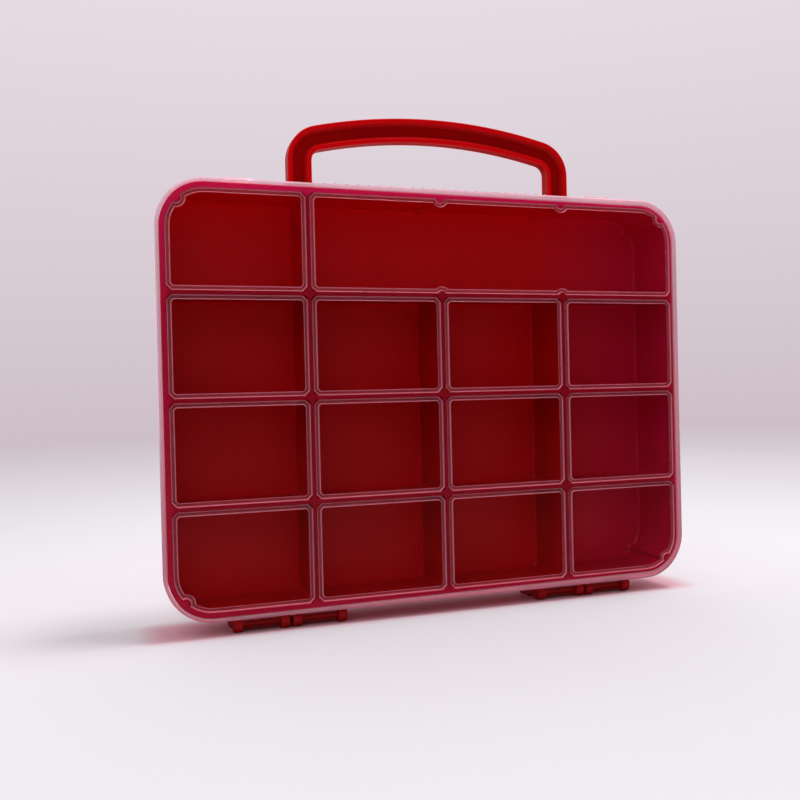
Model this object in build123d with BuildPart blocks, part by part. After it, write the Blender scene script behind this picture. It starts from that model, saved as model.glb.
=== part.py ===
from build123d import *
import math
import os

# A shallow carrying box with a grid of compartments. It stands on its hinge edge: +X to the right
# seen from the front, the clear lid towards -Y, +Z up, and the feet on Z = 0. Millimetres, degrees.

# Compartment grid, measured between the middles of its walls
columns = 4
rows = 4
column_pitch = 66.0
row_pitch = 48.3
compartment_depth = 33.0
divider_thickness = 1.5
post_radius = 2.0

# Tray shell
rim_width = 2.3
floor_thickness = 1.8
rim_corner_radius = 19.3
wall_draft = 0.5
floor_chamfer = 0.9
back_edge_chamfer = 1.5

# Lid
lid_plate = 1.6
lid_margin = 3.0
skirt_wall = 1.5
skirt_reach = 3.6
seat_gap = 0.2
lid_front_chamfer = 0.8
rib_width = 2.1
rib_height = 1.0
rib_flank_angle = 24.0
rib_clearance = 0.25
corner_cut = 2.3

# Hinge: round eyes on the tray that carry fixed bars, and hooks on the lid that snap over the bars
hinge_offset = 77.5
bar_radius = 1.7
bar_height = 4.0
bar_depth = 6.4
lid_edge_above_bar = 3.25
bar_span = 17.8
lug_thickness = 4.0
middle_gap = 1.7
lug_neck = 2.3
foot_length = 19.5
foot_arch_rise = 1.15
foot_heel_start = 9.0
foot_corner_radius = 1.5
hook_running_gap = 0.06
hook_wall = 1.35
hook_side_gap = 0.4
hook_front_reach = 3.2
hook_lip_height = 1.3
hook_lower_lip = 0.6
gusset_drop = 1.8
wall_bite = 1.0

# Snap latches: springy tabs on the lid, each with a window that drops over a tooth on the tray
latch_offset = 96.5
tab_width = 14.0
tab_wall = 1.5
tab_reach = 12.5
tab_flare_rise = 4.6
tab_flare_run = 3.2
tab_bend_radius = 3.5
window_width = 7.4
window_start = 5.0
window_length = 5.6
tooth_width = 5.8
tooth_start = 5.8
tooth_length = 4.0
tooth_height = 1.7
tooth_land = 0.8

# Grip ridges on the lid's top edge
grip_ridges = 22
grip_pitch = 5.5
grip_radius = 0.6
grip_sides = 6

# Handle: an arch of H section over the top wall
handle_half_width = 73.5
handle_band = 11.5
handle_rise = 37.5
handle_crown_radius = 262.0
handle_shoulder_radius = 17.0
handle_inner_radius = 5.5
handle_depth = 6.6
handle_setback = 5.2
handle_flange = 2.2
handle_channel_depth = 2.2
handle_channel_chamfer = 1.4
handle_edge_chamfer = 0.45

# Worked out from the sizes above
grid_width = columns * column_pitch
grid_height = rows * row_pitch
left_line = -grid_width / 2
lid_bottom = bar_height + lid_edge_above_bar
grid_middle = lid_bottom + lid_margin + grid_height / 2
lid_top = grid_middle + grid_height / 2 + lid_margin
top_line = grid_middle + grid_height / 2
bottom_line = grid_middle - grid_height / 2
tray_depth = compartment_depth + floor_thickness
box_depth = lid_plate + seat_gap + tray_depth
lid_front = -box_depth / 2
plate_back = lid_front + lid_plate
rim_face = plate_back + seat_gap
floor_face = rim_face + compartment_depth
skirt_back = rim_face + skirt_reach
tray_wall_top = top_line + rim_width / 2
tray_wall_bottom = bottom_line - rim_width / 2
bar_y = rim_face + bar_depth
hinge_width = 4 * lug_thickness + 2 * bar_span + middle_gap


def upright(y):
    """The upright plane at depth y: its x runs along X and its y along Z."""
    return Plane.XZ.offset(-y)


def side_on(x):
    """The plane across the box at x: its x runs along Y and its y along Z."""
    return Plane.YZ.offset(x)


def column_line(index):
    return left_line + index * column_pitch


def row_line(index):
    """Row lines are counted down from the top rim."""
    return top_line - index * row_pitch


def wall_inset(depth):
    """How far the drafted outer wall has come in at this depth behind the rim."""
    return depth * math.tan(math.radians(wall_draft))


def grid_outline(margin):
    """The box's rounded outline, this far outside the middle of the rim."""
    with BuildSketch() as outline:
        with Locations((0, grid_middle)):
            RectangleRounded(
                grid_width + 2 * margin, grid_height + 2 * margin, rim_corner_radius + margin
            )
    return outline.sketch


def post_centres():
    """Round posts stand where walls meet, and half way round each of the rim's corners.
    Those on the rim are centred on its inner face."""
    rim_inset = rim_width / 2
    corner_inset = rim_corner_radius - (rim_corner_radius - rim_inset) * math.sqrt(0.5)
    centres = []
    for column in range(columns + 1):
        for row in range(rows + 1):
            x = column_line(column)
            z = row_line(row)
            on_side = column in (0, columns)
            on_end = row in (0, rows)
            inset = corner_inset if on_side and on_end else rim_inset
            if on_side:
                x -= math.copysign(inset, x)
            if on_end:
                z -= math.copysign(inset, z - grid_middle)
            centres.append((x, z))
    return centres


# Each compartment as its first and last column line and its first and last row line.
# The top row has one single compartment and one that takes the rest of the row.
compartments = [(0, 1, 0, 1), (1, columns, 0, 1)]
for row in range(1, rows):
    for column in range(columns):
        compartments.append((column, column + 1, row, row + 1))


def compartment_outline(first, last, upper, lower, clearance, cut):
    """One compartment's plan: clear of its walls by clearance, corners cut where dividers meet."""
    inset = divider_thickness / 2 + clearance
    left = column_line(first) + inset
    right = column_line(last) - inset
    high = row_line(upper) - inset
    low = row_line(lower) + inset
    with BuildSketch() as outline:
        with Locations(((left + right) / 2, (high + low) / 2)):
            Rectangle(right - left, high - low)
        add(grid_outline(-rim_width / 2 - clearance), mode=Mode.INTERSECT)
        if cut > 0:
            box_corners = [
                (x, z)
                for x in (column_line(0), column_line(columns))
                for z in (row_line(0), row_line(rows))
            ]
            square_corners = [
                corner
                for corner in outline.vertices()
                if all(math.dist((corner.X, corner.Y), place) > rim_corner_radius for place in box_corners)
            ]
            chamfer(square_corners, length=cut)
        with Locations(*post_centres()):
            Circle(post_radius + clearance, mode=Mode.SUBTRACT)
    return outline.sketch


def hinge_starts():
    """The left end of each hinge."""
    return [-hinge_offset - hinge_width / 2, hinge_offset - hinge_width / 2]


def bar_starts():
    """The left end of each bar, inside its pair of lugs."""
    second_bar = lug_thickness + bar_span + lug_thickness + middle_gap + lug_thickness
    return [start + shift for start in hinge_starts() for shift in (lug_thickness, second_bar)]


# Tray: drafted shell, compartments with posts at their corners, lugs, bars and catch teeth
with BuildPart() as tray:
    with BuildSketch(upright(rim_face)):
        add(grid_outline(rim_width / 2))
    extrude(amount=-tray_depth, taper=wall_draft)
    chamfer(tray.faces().sort_by(Axis.Y)[-1].edges(), length=back_edge_chamfer)

    # Lugs: a round eye about the bar, a neck up to the wall, and a foot with an arched sole
    wall_top = tray_wall_bottom + wall_bite
    lug_starts = [bar - lug_thickness for bar in bar_starts()] + [bar + bar_span for bar in bar_starts()]
    for start in lug_starts:
        with BuildSketch(side_on(start)) as lug_side:
            with Locations((bar_y, bar_height)):
                Circle(bar_height)
            with BuildLine():
                Polyline(
                    (bar_y - lug_neck, bar_height),
                    (bar_y - lug_neck, wall_top),
                    (bar_y + foot_length, wall_top),
                    (bar_y + foot_length, 0),
                    (bar_y + foot_heel_start, 0),
                    (bar_y + foot_heel_start, foot_arch_rise),
                    (bar_y, foot_arch_rise),
                    close=True,
                )
            make_face()
            heel_corners = lug_side.vertices().group_by(Axis.Y)[0]
            fillet(heel_corners.sort_by(Axis.X)[-1], radius=foot_corner_radius)
        extrude(amount=lug_thickness)

    # Bars between the lugs
    for start in bar_starts():
        with BuildSketch(side_on(start)):
            with Locations((bar_y, bar_height)):
                Circle(bar_radius)
        extrude(amount=bar_span)

    # Catch teeth on the top wall, ramped towards the lid
    tooth_y = rim_face + tooth_start
    tooth_foot = tray_wall_top - wall_bite
    tooth_top = tray_wall_top + tooth_height
    for middle in (-latch_offset, latch_offset):
        with BuildSketch(side_on(middle - tooth_width / 2)):
            with BuildLine():
                Polyline(
                    (tooth_y, tooth_foot),
                    (tooth_y, tray_wall_top - wall_inset(tooth_start)),
                    (tooth_y + tooth_length - tooth_land, tooth_top),
                    (tooth_y + tooth_length, tooth_top),
                    (tooth_y + tooth_length, tooth_foot),
                    close=True,
                )
            make_face()
        extrude(amount=tooth_width)

    # Compartments, with a sloping floor edge
    with BuildSketch(upright(rim_face)):
        for compartment in compartments:
            add(compartment_outline(*compartment, clearance=0, cut=0))
    extrude(amount=rim_face - floor_face, taper=wall_draft, mode=Mode.SUBTRACT)
    upright_faces = tray.faces().filter_by(Plane.XZ)
    floors = upright_faces.filter_by(lambda face: math.isclose(face.center().Y, floor_face))
    chamfer(floors.edges(), length=floor_chamfer)


# Lid: clear plate and skirt, a rib loop round each compartment, hooks, latch tabs and grip ridges
with BuildPart() as lid:
    with BuildSketch(upright(lid_front)):
        add(grid_outline(lid_margin))
    extrude(amount=-(skirt_back - lid_front))
    chamfer(lid.faces().sort_by(Axis.Y)[0].edges(), length=lid_front_chamfer)
    with BuildSketch(upright(skirt_back)):
        add(grid_outline(lid_margin - skirt_wall))
    extrude(amount=skirt_back - plate_back, mode=Mode.SUBTRACT)

    # Hooks: a bridge from the skirt, a lip down in front of the bar, and a ring round its back
    hook_outer = bar_radius + hook_running_gap + hook_wall
    bridge_top = lid_bottom + skirt_wall
    for start in bar_starts():
        with BuildSketch(side_on(start + hook_side_gap)):
            with Locations((bar_y, bar_height)):
                Circle(hook_outer)
            with BuildLine():
                Polyline(
                    (skirt_back - skirt_wall, lid_bottom),
                    (skirt_back - skirt_wall, bridge_top),
                    (bar_y, bridge_top),
                    (bar_y, bar_height + hook_lip_height),
                    (bar_y - hook_front_reach, bar_height + hook_lip_height),
                    (bar_y - hook_front_reach, lid_bottom),
                    close=True,
                )
            make_face()
            with BuildLine():
                Polyline(
                    (bar_y - 2 * hook_outer, bar_height + hook_lip_height),
                    (bar_y - hook_lower_lip, bar_height + hook_lip_height),
                    (bar_y - hook_lower_lip, bar_height - 2 * hook_outer),
                    (bar_y - 2 * hook_outer, bar_height - 2 * hook_outer),
                    close=True,
                )
            make_face(mode=Mode.SUBTRACT)
            with Locations((bar_y, bar_height)):
                Circle(bar_radius + hook_running_gap, mode=Mode.SUBTRACT)
        extrude(amount=bar_span - 2 * hook_side_gap)

    # Gussets: a thin fin under the skirt, in the gap between a hinge's two middle lugs
    for start in hinge_starts():
        gap_start = start + 2 * lug_thickness + bar_span
        with BuildSketch(side_on(gap_start + hook_side_gap)):
            with BuildLine():
                Polyline(
                    (plate_back, lid_bottom + skirt_wall / 2),
                    (bar_y, lid_bottom + skirt_wall / 2),
                    (bar_y, lid_bottom - gusset_drop),
                    (skirt_back - skirt_wall, lid_bottom - gusset_drop),
                    close=True,
                )
            make_face()
        extrude(amount=middle_gap - 2 * hook_side_gap)

    # Latch tabs: they run back over the top wall and turn up into a finger tip
    tab_middle = lid_top - tab_wall / 2
    tab_end = rim_face + tab_reach
    for middle in (-latch_offset, latch_offset):
        with BuildSketch(side_on(middle - tab_width / 2)):
            with BuildLine() as tab_line:
                FilletPolyline(
                    (skirt_back - skirt_wall, tab_middle),
                    (tab_end, tab_middle),
                    (tab_end + tab_flare_run, tab_middle + tab_flare_rise),
                    radius=tab_bend_radius,
                )
            trace(tab_line.line, line_width=tab_wall)
        extrude(amount=tab_width)
        with BuildSketch(Plane.XY.offset(tab_middle)):
            with Locations((middle, rim_face + window_start + window_length / 2)):
                RectangleRounded(window_width, window_length, radius=tab_wall / 2)
        extrude(amount=tab_wall, both=True, mode=Mode.SUBTRACT)

    # Grip ridges between the handle's legs
    ridge_line = -(grip_ridges - 1) / 2 * grip_pitch
    ridge_places = [(ridge_line + index * grip_pitch, lid_top) for index in range(grip_ridges)]
    with BuildSketch(upright(skirt_back)):
        with Locations(*ridge_places):
            RegularPolygon(grip_radius, grip_sides)
    extrude(amount=skirt_back - lid_front - 2 * lid_front_chamfer)

    # Rib loops: their flanks slope in, so that the lid can swing clear of the walls
    for compartment in compartments:
        loop_outside = compartment_outline(*compartment, clearance=rib_clearance, cut=corner_cut)
        with BuildSketch(upright(plate_back)):
            add(loop_outside)
            offset(loop_outside, amount=-rib_width, mode=Mode.SUBTRACT)
        extrude(amount=-rib_height, taper=rib_flank_angle)


# Handle: an arch with a channel in its front and in its back, standing on the top wall
def arch(inset, shoulder, foot):
    """The region under an arch this far inside the handle's outer edge, down to the height foot."""
    leg = handle_half_width - inset
    crown = handle_crown_radius - inset
    crown_middle = tray_wall_top + handle_rise - handle_crown_radius
    shoulder_x = leg - shoulder
    shoulder_z = crown_middle + math.sqrt((crown - shoulder) ** 2 - shoulder_x**2)
    half_turn = math.degrees(math.asin(shoulder_x / (crown - shoulder)))
    with BuildSketch() as region:
        with BuildLine():
            CenterArc((0, crown_middle), crown, 90 - half_turn, 2 * half_turn)
            CenterArc((shoulder_x, shoulder_z), shoulder, 0, 90 - half_turn)
            CenterArc((-shoulder_x, shoulder_z), shoulder, 90 + half_turn, 90 - half_turn)
            Polyline((leg, shoulder_z), (leg, foot), (-leg, foot), (-leg, shoulder_z))
        make_face()
    return region.sketch


with BuildPart() as handle:
    handle_front = rim_face + handle_setback
    handle_foot = tray_wall_top - wall_bite
    with BuildSketch(upright(handle_front)):
        add(arch(0, handle_shoulder_radius, handle_foot))
        add(arch(handle_band, handle_inner_radius, handle_foot), mode=Mode.SUBTRACT)
    extrude(amount=-handle_depth)
    with BuildSketch() as channel:
        add(arch(handle_flange, handle_shoulder_radius - handle_flange, tray_wall_top + handle_flange))
        channel_inset = handle_band - handle_flange
        add(arch(channel_inset, handle_inner_radius + handle_flange, handle_foot), mode=Mode.SUBTRACT)
    for channel_mouth, inwards in ((handle_front, -1), (handle_front + handle_depth, 1)):
        with BuildSketch(upright(channel_mouth)):
            add(channel.sketch)
        extrude(amount=inwards * handle_channel_depth, mode=Mode.SUBTRACT)

    # The first and last upright faces are the flanges' edges, the two between are the channels' floors
    upright_faces = handle.faces().filter_by(Plane.XZ).sort_by(Axis.Y)
    chamfer(upright_faces[1:3].edges(), length=handle_channel_chamfer)
    upright_faces = handle.faces().filter_by(Plane.XZ).sort_by(Axis.Y)
    flange_edges = upright_faces[0].edges() + upright_faces[-1].edges()
    above_the_wall = flange_edges.filter_by(lambda edge: edge.center().Z > tray_wall_top)
    chamfer(above_the_wall, length=handle_edge_chamfer)

    # The feet end on the tray's drafted wall
    with BuildSketch(upright(rim_face)):
        add(grid_outline(rim_width / 2))
    extrude(amount=-tray_depth, taper=wall_draft, mode=Mode.SUBTRACT)


os.makedirs("parts", exist_ok=True)
tray.part.label = "tray"
export_step(tray.part, "parts/tray.step")
lid.part.label = "lid"
export_step(lid.part, "parts/lid.step")
handle.part.label = "handle"
export_step(handle.part, "parts/handle.step")
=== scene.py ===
import math

import bpy
from mathutils import Matrix, Vector

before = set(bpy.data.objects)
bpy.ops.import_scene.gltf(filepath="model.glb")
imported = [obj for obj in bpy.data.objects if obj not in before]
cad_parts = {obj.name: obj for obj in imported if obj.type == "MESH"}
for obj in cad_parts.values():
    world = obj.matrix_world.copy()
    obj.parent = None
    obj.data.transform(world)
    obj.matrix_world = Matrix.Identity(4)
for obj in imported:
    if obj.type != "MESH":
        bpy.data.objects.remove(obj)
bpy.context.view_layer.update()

# Camera: it stands where the photo was taken from, found from the grid of walls
photo_side = 800
focal_pixels = 900.3
sensor_width = 36.0
camera_place = Vector((-0.1629, -0.4255, 0.1093))
camera_turn = math.radians(-18.91)
camera_tilt = math.radians(-0.61)
camera_roll = math.radians(-1.36)
level = math.radians(90)


def make_camera():
    data = bpy.data.cameras.new("camera")
    data.sensor_width = sensor_width
    data.lens = sensor_width * focal_pixels / photo_side
    data.clip_start = 0.01
    data.clip_end = 50.0
    camera = bpy.data.objects.new("camera", data)
    bpy.context.scene.collection.objects.link(camera)
    turned = Matrix.Rotation(camera_turn, 4, "Z")
    tilted = Matrix.Rotation(level + camera_tilt, 4, "X")
    rolled = Matrix.Rotation(camera_roll, 4, "Z")
    camera.matrix_world = Matrix.Translation(camera_place) @ turned @ tilted @ rolled
    bpy.context.scene.camera = camera
    bpy.context.scene.view_settings.view_transform = "Standard"


def linear(red, green, blue):
    """A colour as it looks on screen, 0 to 255, in the linear values that shaders take."""
    values = []
    for part in (red, green, blue):
        share = part / 255
        values.append(share / 12.92 if share <= 0.04045 else ((share + 0.055) / 1.055) ** 2.4)
    return (*values, 1.0)


# Parts of the node materials. Places are the object's own coordinates: metres in the part's frame.
def new_material(name):
    """A node material with a Principled shader."""
    material = bpy.data.materials.new(name)
    material.use_nodes = True
    tree = material.node_tree
    tree.nodes.clear()
    output = tree.nodes.new("ShaderNodeOutputMaterial")
    shader = tree.nodes.new("ShaderNodeBsdfPrincipled")
    tree.links.new(shader.outputs["BSDF"], output.inputs["Surface"])
    return material, tree, shader


def object_place(tree):
    return tree.nodes.new("ShaderNodeTexCoord").outputs["Object"]


def object_axes(tree):
    """The place's X, Y and Z one by one."""
    parts = tree.nodes.new("ShaderNodeSeparateXYZ")
    tree.links.new(object_place(tree), parts.inputs["Vector"])
    return parts.outputs


def object_noise(tree, scale, detail=3.0, roughness=0.5):
    noise = tree.nodes.new("ShaderNodeTexNoise")
    noise.inputs["Scale"].default_value = scale
    noise.inputs["Detail"].default_value = detail
    noise.inputs["Roughness"].default_value = roughness
    tree.links.new(object_place(tree), noise.inputs["Vector"])
    return noise.outputs["Fac"]


def mapped(tree, source, low, high, start=0.3, end=0.7):
    """A value that goes from low to high as the source goes from start to end. By default, these
    are the ends of the range in which noise mostly lies."""
    spread = tree.nodes.new("ShaderNodeMapRange")
    spread.inputs["From Min"].default_value = start
    spread.inputs["From Max"].default_value = end
    spread.inputs["To Min"].default_value = low
    spread.inputs["To Max"].default_value = high
    tree.links.new(source, spread.inputs["Value"])
    return spread.outputs["Result"]


def combined(tree, first, operation, second, clamp=False):
    """The sum, difference or product of two values."""
    node = tree.nodes.new("ShaderNodeMath")
    node.operation = operation
    node.use_clamp = clamp
    tree.links.new(first, node.inputs[0])
    tree.links.new(second, node.inputs[1])
    return node.outputs["Value"]


def vector_length(tree, source):
    node = tree.nodes.new("ShaderNodeVectorMath")
    node.operation = "LENGTH"
    tree.links.new(source, node.inputs[0])
    return node.outputs["Value"]


def distance_outside(tree, centre, half_sizes):
    """How far a place lies outside the block with this centre and these half sizes."""
    source = object_place(tree)
    for operation, values in (
        ("SUBTRACT", centre),
        ("ABSOLUTE", None),
        ("SUBTRACT", half_sizes),
        ("MAXIMUM", (0, 0, 0)),
    ):
        step = tree.nodes.new("ShaderNodeVectorMath")
        step.operation = operation
        tree.links.new(source, step.inputs[0])
        if values:
            step.inputs[1].default_value = values
        source = step.outputs["Vector"]
    return vector_length(tree, source)


def two_tone(tree, source, first, second):
    """A colour between two tones, by a source that runs from 0 to 1. A tone may be a node's output."""
    mix = tree.nodes.new("ShaderNodeMix")
    mix.data_type = "RGBA"
    for tone, slot in ((first, "A"), (second, "B")):
        if isinstance(tone, tuple):
            mix.inputs[slot].default_value = tone
        else:
            tree.links.new(tone, mix.inputs[slot])
    tree.links.new(source, mix.inputs["Factor"])
    return mix.outputs["Result"]


def bump(tree, source, strength, distance):
    node = tree.nodes.new("ShaderNodeBump")
    node.inputs["Strength"].default_value = strength
    node.inputs["Distance"].default_value = distance
    tree.links.new(source, node.inputs["Height"])
    return node.outputs["Normal"]


def mixed_shader(tree, share, first, second):
    """A shader between two, by a share that runs from 0 to 1."""
    mix = tree.nodes.new("ShaderNodeMixShader")
    tree.links.new(share, mix.inputs["Fac"])
    tree.links.new(first, mix.inputs[1])
    tree.links.new(second, mix.inputs[2])
    return mix.outputs["Shader"]


def let_lamps_through(tree, shader, glow):
    """Lamps shine through with the tint glow, so that they reach what lies behind."""
    path = tree.nodes.new("ShaderNodeLightPath")
    open_way = tree.nodes.new("ShaderNodeBsdfTransparent")
    open_way.inputs["Color"].default_value = glow
    lamp_ray = path.outputs["Is Shadow Ray"]
    surface = mixed_shader(tree, lamp_ray, shader.outputs["BSDF"], open_way.outputs["BSDF"])
    tree.links.new(surface, tree.nodes["Material Output"].inputs["Surface"])


# Sizes of the box that the materials follow, as in the part's own source
box_half_width = 0.135
grid_width = 0.264
grid_height = 0.1932
grid_middle = 0.10685
rim_corner_radius = 0.0193
rim_width = 0.0023
rim_face = -0.0165
floor_face = 0.0165
tray_bottom = 0.0091
tray_top = 0.2046
handle_middle = -0.008
handle_half_depth = 0.0033
handle_channel_depth = 0.0022
lid_bottom = 0.00725
plate_thickness = 0.0016
rib_height = 0.001

# Half the size of a block along an axis on which it is to have no end
endless = 1.0

# Sharpness of a change from one tone to the next
blend = 0.0003

plastic_ior = 1.5
bump_depth = 0.0002


def arc_radius(tree):
    """How far a place lies from the block that joins the arc centres of the box's rounded outline.
    At the rim's middle this is the rim's corner radius, all round the box."""
    across = grid_width / 2 - rim_corner_radius
    upward = grid_height / 2 - rim_corner_radius
    return distance_outside(tree, (0, 0, grid_middle), (across, endless, upward))


# Red plastic: glossy and a little see-through, and lamps shine through it a little
def red_plastic(name, see_through, gloss, coat, glow):
    """Red plastic without its colour."""
    material, tree, shader = new_material(name)
    grain = object_noise(tree, scale=260.0, detail=2.0)
    tree.links.new(mapped(tree, grain, 0.35, 0.45), shader.inputs["Roughness"])
    tree.links.new(bump(tree, grain, 0.04, bump_depth), shader.inputs["Normal"])
    shader.inputs["IOR"].default_value = plastic_ior
    shader.inputs["Transmission Weight"].default_value = see_through
    shader.inputs["Specular IOR Level"].default_value = gloss
    shader.inputs["Coat Weight"].default_value = coat
    shader.inputs["Coat Roughness"].default_value = 0.08
    let_lamps_through(tree, shader, glow)
    return material, tree, shader


def streaks(tree):
    """Soft streaks from 0 to 1."""
    return mapped(tree, object_noise(tree, scale=18.0, detail=4.0), 0.0, 1.0)


# Handle: deep red in its channels, where shade is painted, and brighter on the flanges, where light is
# painted
def handle_material():
    glow = linear(120, 0, 16)
    material, tree, shader = red_plastic("handle_red", see_through=0.1, gloss=0.02, coat=0.05, glow=glow)
    from_middle = distance_outside(tree, (0, handle_middle, 0), (endless, 0, endless))
    channel_floor = handle_half_depth - handle_channel_depth
    # Painted shade and light: the recessed channels are darker red and the front flanges brighter red
    flange = mapped(tree, from_middle, 0.0, 1.0, channel_floor, handle_half_depth)
    painted_channel_shade = two_tone(tree, streaks(tree), linear(160, 0, 0), linear(172, 0, 0))
    tone = two_tone(tree, flange, painted_channel_shade, linear(234, 0, 10))
    tree.links.new(tone, shader.inputs["Base Color"])
    return material


# Tray: deep red inside, with a painted reflection that makes its right column more crimson, duller on
# the dividers' edges, crimson round the rim, brighter towards the top, where light gets in, and darker
# in the lugs, where shade is painted
edge_depth = 0.0024
brighter_from = 0.145
last_column_start = grid_width / 4


def tray_material():
    glow = linear(150, 0, 24)
    material, tree, shader = red_plastic("tray_red", see_through=0.3, gloss=0.1, coat=0.1, glow=glow)
    axes = object_axes(tree)
    upper = mapped(tree, axes["Z"], 0.0, 1.0, brighter_from, tray_top)

    outward = arc_radius(tree)
    inside_of_rim = rim_corner_radius - rim_width / 2
    rim = mapped(tree, outward, 0.0, 1.0, inside_of_rim - rim_width, inside_of_rim)
    rim_tone = two_tone(tree, upper, linear(218, 6, 70), linear(255, 24, 112))
    edge_tone = two_tone(tree, rim, linear(180, 4, 38), rim_tone)

    lower_tone = two_tone(tree, streaks(tree), linear(206, 0, 8), linear(218, 0, 12))
    wall_tone = two_tone(tree, upper, lower_tone, linear(232, 0, 12))
    # Painted reflection: inside the right column the walls turn pinker crimson, standing in for a veil
    # that the lid reflects there
    to_right = mapped(tree, axes["X"], 0.0, 1.0, last_column_start, grid_width / 2)
    within_walls = mapped(tree, outward, 1.0, 0.0, rim_corner_radius, rim_corner_radius + blend)
    before_floor = mapped(tree, axes["Y"], 1.0, 0.0, floor_face, floor_face + blend)
    within = combined(tree, within_walls, "MULTIPLY", before_floor)
    painted_reflection = combined(tree, to_right, "MULTIPLY", within)
    deep_tone = two_tone(tree, painted_reflection, wall_tone, linear(206, 30, 80))

    depth = mapped(tree, axes["Y"], 0.0, 1.0, rim_face, rim_face + edge_depth)
    tray_tone = two_tone(tree, depth, edge_tone, deep_tone)
    # Painted shade: everything below the tray's bottom, the lugs and hinge bars, is a darker red
    above_lugs = mapped(tree, axes["Z"], 0.0, 1.0, tray_bottom - blend, tray_bottom)
    tone = two_tone(tree, above_lugs, linear(176, 0, 4), tray_tone)
    tree.links.new(tone, shader.inputs["Base Color"])
    return material


# Clear plastic: glossy, with fine flow marks, and milky where it is frosted
def flow_marks(tree):
    return object_noise(tree, scale=35.0, detail=5.0, roughness=0.6)


def clear_plastic(name, glow, roughness, see_through):
    """Clear plastic without its colour."""
    material, tree, shader = new_material(name)
    flow = flow_marks(tree)
    tree.links.new(mapped(tree, flow, roughness, roughness + 0.04), shader.inputs["Roughness"])
    tree.links.new(bump(tree, flow, 0.02, bump_depth), shader.inputs["Normal"])
    shader.inputs["IOR"].default_value = plastic_ior
    shader.inputs["Transmission Weight"].default_value = see_through
    let_lamps_through(tree, shader, glow)
    return material, tree, shader


def tinted_plastic(name, tint, flow_tint, roughness, see_through):
    """Clear plastic with one tint and another along its flow marks."""
    material, tree, shader = clear_plastic(name, tint, roughness, see_through)
    flow = mapped(tree, flow_marks(tree), 0.0, 1.0)
    tree.links.new(two_tone(tree, flow, tint, flow_tint), shader.inputs["Base Color"])
    return material


def frost_painted_light(tree):
    """Frosted plastic is pink low down, painted red light from the tray, and paler towards the top, a
    painted highlight.
    """
    height = mapped(tree, object_axes(tree)["Z"], 0.0, 1.0, lid_bottom, tray_top)
    return two_tone(tree, height, linear(246, 158, 178), linear(254, 222, 234))


# The plate turns milky towards the edge that overhangs the rim. This starts a little outside the
# rim's middle, further in on the box's right side and further out on its left by the shift.
margin_see_through = 0.45
frost_start = rim_corner_radius + 0.00025
frost_width = 0.001
frost_shift = 0.00085


def plate_material():
    tint = linear(252, 242, 246)
    material, tree, shader = clear_plastic("clear_plastic", tint, roughness=0.02, see_through=1.0)
    across = object_axes(tree)["X"]
    shift = mapped(tree, across, -frost_shift, frost_shift, -box_half_width, box_half_width)
    outward = combined(tree, arc_radius(tree), "ADD", shift)
    frost = mapped(tree, outward, 0.0, 1.0, frost_start, frost_start + frost_width)
    see_through = mapped(tree, frost, 1.0, margin_see_through, 0.0, 1.0)
    tree.links.new(see_through, shader.inputs["Transmission Weight"])
    tree.links.new(two_tone(tree, frost, tint, frost_painted_light(tree)), shader.inputs["Base Color"])
    return material


def skirt_material():
    glow = linear(252, 206, 220)
    material, tree, shader = clear_plastic("milky_plastic", glow, roughness=0.15, see_through=0.45)
    tree.links.new(frost_painted_light(tree), shader.inputs["Base Color"])
    return material


def rib_flank_glint_material():
    # Painted highlight: the rib flanks are mostly pink diffuse colour, in place of the bright lines that
    # light makes on them
    tint = linear(252, 172, 192)
    return tinted_plastic("pink_glint_plastic", tint, linear(250, 162, 184), roughness=0.25, see_through=0.1)


def rib_top_material():
    tint = linear(252, 236, 240)
    return tinted_plastic("hazy_plastic", tint, linear(250, 230, 236), roughness=0.15, see_through=0.93)


def hook_material():
    tint = linear(150, 12, 18)
    return tinted_plastic("hook_plastic", tint, linear(142, 10, 16), roughness=0.25, see_through=0.3)


# Lid: its plate is clear, its skirt and latch tabs are milky, the tops of its ribs are hazy, the flanks
# of the ribs are painted pink as a glint, and the hooks take on the red of the bars that they clasp
on_a_face = 0.0001


def frost_lid(plate, skirt, rib_flank, rib_top, hook):
    """Each face of the lid gets one of the lid's materials, given by their numbers."""
    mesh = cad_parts["lid"].data
    lid_front = min(vertex.co.y for vertex in mesh.vertices)
    plate_back = lid_front + plate_thickness
    rib_tops = plate_back + rib_height
    for polygon in mesh.polygons:
        depth = polygon.center.y
        if polygon.center.z < lid_bottom - on_a_face:
            polygon.material_index = hook
        elif depth > rib_tops + on_a_face:
            polygon.material_index = skirt
        elif depth > rib_tops - on_a_face:
            polygon.material_index = rib_top
        elif depth > plate_back + on_a_face:
            polygon.material_index = rib_flank
        else:
            polygon.material_index = plate


def dress(node, *materials):
    """A carried-over node gets these materials. The first shows on all faces that ask for no other."""
    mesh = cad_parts[node].data
    mesh.materials.clear()
    for material in materials:
        mesh.materials.append(material)


def soften(node, width, segments):
    """Round off a moulded piece's edges a little, so that they catch the light."""
    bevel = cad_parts[node].modifiers.new("soft_edges", "BEVEL")
    bevel.width = width
    bevel.segments = segments
    bevel.limit_method = "ANGLE"
    bevel.angle_limit = math.radians(20)


# Floor: pale, with a painted pink shadow under the box, which lets red light through, and fading out
# into the backdrop's colour far away. Reflections see it dimmed, so that it doesn't veil the dark
# inside.
floor_side = 4.0
painted_red_shade_half_depth = 0.01
painted_red_shade_reach = 0.012
fade_start = 0.3
fade_end = 2.0
floor_in_mirrors = 0.02


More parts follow.
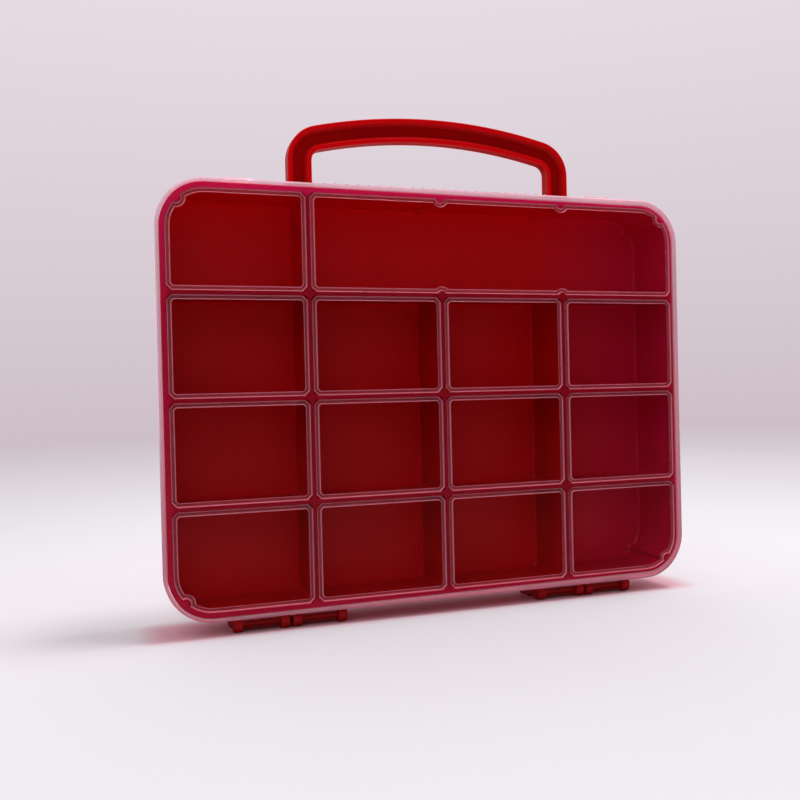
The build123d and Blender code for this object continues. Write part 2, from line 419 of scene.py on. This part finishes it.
def floor_material():
    material, tree, shader = new_material("pale_floor")
    path = tree.nodes.new("ShaderNodeLightPath")
    clouds = mapped(tree, object_noise(tree, scale=2.0), 0.0, 1.0)
    pale = two_tone(tree, clouds, linear(232, 232, 235), linear(228, 227, 231))
    # Painted shadow and bounce light: near the box the floor turns darker and pink
    from_box = distance_outside(tree, (0, 0, 0), (box_half_width, painted_red_shade_half_depth, endless))
    beyond = mapped(tree, from_box, 0.0, 1.0, 0.0, painted_red_shade_reach)
    dimmed = tree.nodes.new("ShaderNodeVectorMath")
    dimmed.operation = "SCALE"
    tree.links.new(two_tone(tree, beyond, linear(226, 184, 196), pale), dimmed.inputs[0])
    shown = mapped(tree, path.outputs["Glossy Depth"], 1.0, floor_in_mirrors, 0.0, 1.0)
    tree.links.new(shown, dimmed.inputs["Scale"])
    tree.links.new(dimmed.outputs["Vector"], shader.inputs["Base Color"])
    shader.inputs["Roughness"].default_value = 0.6
    shader.inputs["Specular IOR Level"].default_value = 0.0

    open_way = tree.nodes.new("ShaderNodeBsdfTransparent")
    distance = vector_length(tree, object_place(tree))
    far = mapped(tree, distance, 0.0, 1.0, fade_start, fade_end)
    surface = mixed_shader(tree, far, shader.outputs["BSDF"], open_way.outputs["BSDF"])
    tree.links.new(surface, tree.nodes["Material Output"].inputs["Surface"])
    return material


def make_floor():
    mesh = bpy.data.meshes.new("floor")
    half = floor_side / 2
    corners = [(-half, -half, 0), (half, -half, 0), (half, half, 0), (-half, half, 0)]
    mesh.from_pydata(corners, [], [(0, 1, 2, 3)])
    mesh.materials.append(floor_material())
    floor = bpy.data.objects.new("floor", mesh)
    bpy.context.scene.collection.objects.link(floor)


# Backdrop and studio light: a pale backdrop all round, and light from above and from behind the box.
# Heights and directions here are shares of a view direction of length 1.
backdrop_foot = -0.05
backdrop_top = 0.4
light_strength = 0.9
dark_from = -0.5
full_light_from = 0.4


def make_world():
    world = bpy.data.worlds.new("studio")
    bpy.context.scene.world = world
    world.use_nodes = True
    tree = world.node_tree
    tree.nodes.clear()
    output = tree.nodes.new("ShaderNodeOutputWorld")
    place = tree.nodes.new("ShaderNodeTexCoord")
    parts = tree.nodes.new("ShaderNodeSeparateXYZ")
    tree.links.new(place.outputs["Generated"], parts.inputs["Vector"])

    backdrop = tree.nodes.new("ShaderNodeBackground")
    height = mapped(tree, parts.outputs["Z"], 0.0, 1.0, backdrop_foot, backdrop_top)
    wall = two_tone(tree, height, linear(206, 191, 199), linear(231, 220, 228))
    tree.links.new(wall, backdrop.inputs["Color"])
    light = tree.nodes.new("ShaderNodeBackground")
    light.inputs["Color"].default_value = linear(250, 246, 250)
    up_or_back = combined(tree, parts.outputs["Y"], "ADD", parts.outputs["Z"])
    strength = mapped(tree, up_or_back, 0.0, light_strength, dark_from, full_light_from)
    tree.links.new(strength, light.inputs["Strength"])

    # Rays that come straight or only through clear plastic see the backdrop, all others the light
    path = tree.nodes.new("ShaderNodeLightPath")
    straight = combined(tree, path.outputs["Is Camera Ray"], "ADD", path.outputs["Is Transmission Ray"])
    bounces = combined(tree, path.outputs["Diffuse Depth"], "ADD", path.outputs["Glossy Depth"])
    seen = combined(tree, straight, "SUBTRACT", bounces, clamp=True)
    surface = mixed_shader(tree, seen, light.outputs["Background"], backdrop.outputs["Background"])
    tree.links.new(surface, output.inputs["Surface"])


def make_lamp(name, place, width, watts, colour):
    """A round lamp that shines on the middle of the box."""
    data = bpy.data.lights.new(name, "AREA")
    data.shape = "DISK"
    data.size = width
    data.energy = watts
    data.color = colour[:3]
    lamp = bpy.data.objects.new(name, data)
    bpy.context.scene.collection.objects.link(lamp)
    lamp.visible_camera = False
    lamp.location = place
    box_middle = Vector((0, 0, 0.1))
    lamp.rotation_euler = (box_middle - Vector(place)).to_track_quat("-Z", "Y").to_euler()


make_camera()
dress("tray", tray_material())
dress("handle", handle_material())
ribs_and_hooks = (rib_flank_glint_material(), rib_top_material(), hook_material())
dress("lid", plate_material(), skirt_material(), *ribs_and_hooks)
frost_lid(plate=0, skirt=1, rib_flank=2, rib_top=3, hook=4)
soften("handle", width=0.0005, segments=3)
make_floor()
make_world()
make_lamp("key", (0.35, -0.1, 1.5), width=0.45, watts=9.5, colour=linear(255, 252, 252))
make_lamp("fill", (-0.7, -1.1, 1.1), width=1.4, watts=3.5, colour=linear(252, 252, 255))
